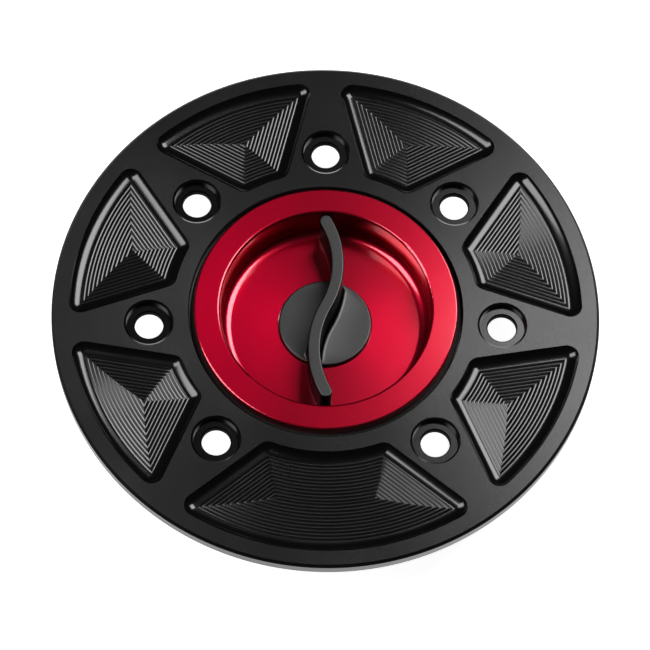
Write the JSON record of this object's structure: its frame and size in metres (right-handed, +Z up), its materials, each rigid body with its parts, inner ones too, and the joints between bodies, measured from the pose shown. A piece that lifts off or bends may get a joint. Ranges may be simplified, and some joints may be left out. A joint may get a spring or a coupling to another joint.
{
  "type": "motorcycle fuel tank cap",
  "caption": "Round screw-down fuel tank cap: a black pocketed flange with a filler neck, a red dished plug and an S-shaped handle that turns a lock bar.",
  "frame": {"origin": "on the cap's axis, in the plane of the flange's underside, which rests on the tank", "axes": "+Z up out of the tank along the axis; +Y from the long bottom pocket towards the single top screw hole; the handle lies along Y at rest"},
  "size_m": [0.12, 0.12, 0.0259],
  "materials": {
    "black_anodised": "satin black anodised, machined",
    "red_anodised": "bright red anodised, turned",
    "bare_aluminium": "turned",
    "stainless": "satin",
    "black_rubber": "fuel-proof nitrile, matt",
    "bronze": "turned",
    "white_ptfe": "smooth"
  },
  "bodies": {
    "base": {"flange_ring": "black_anodised", "filler_neck": "black_anodised", "bayonet_ring": "bare_aluminium", "ring_screws": "stainless", "tank_gasket": "black_rubber"},
    "cap": {"cap_dish": "red_anodised", "rim_seal": "black_rubber", "throat_o_ring": "black_rubber", "hub_bush": "bronze", "stop_pins": "stainless", "key_pin": "stainless", "vent_seat": "bronze", "vent_retainer": "bronze"},
    "vent_ball": {"vent_ball": "stainless"},
    "handle": {"handle": "black_anodised", "spindle": "stainless", "spindle_screws": "stainless", "thrust_washer": "white_ptfe", "spindle_o_ring": "black_rubber", "disc_spring": "stainless", "lock_bar": "stainless", "clamp_washer": "stainless", "clamp_screw": "stainless"}
  },
  "joints": [
    {"name": "cap_lift", "type": "slide", "parent": "base", "child": "cap", "axis": [0, 0, 1], "range_m": [0, 0.03]},
    {"name": "handle_turn", "type": "hinge", "parent": "cap", "child": "handle", "pos_m": [0, 0, 0], "axis": [0, 0, 1], "range_deg": [-90, 0]},
    {"name": "vent_rise", "type": "slide", "parent": "cap", "child": "vent_ball", "axis": [0, 0, 1], "range_m": [0, 0.00125]}
  ]
}
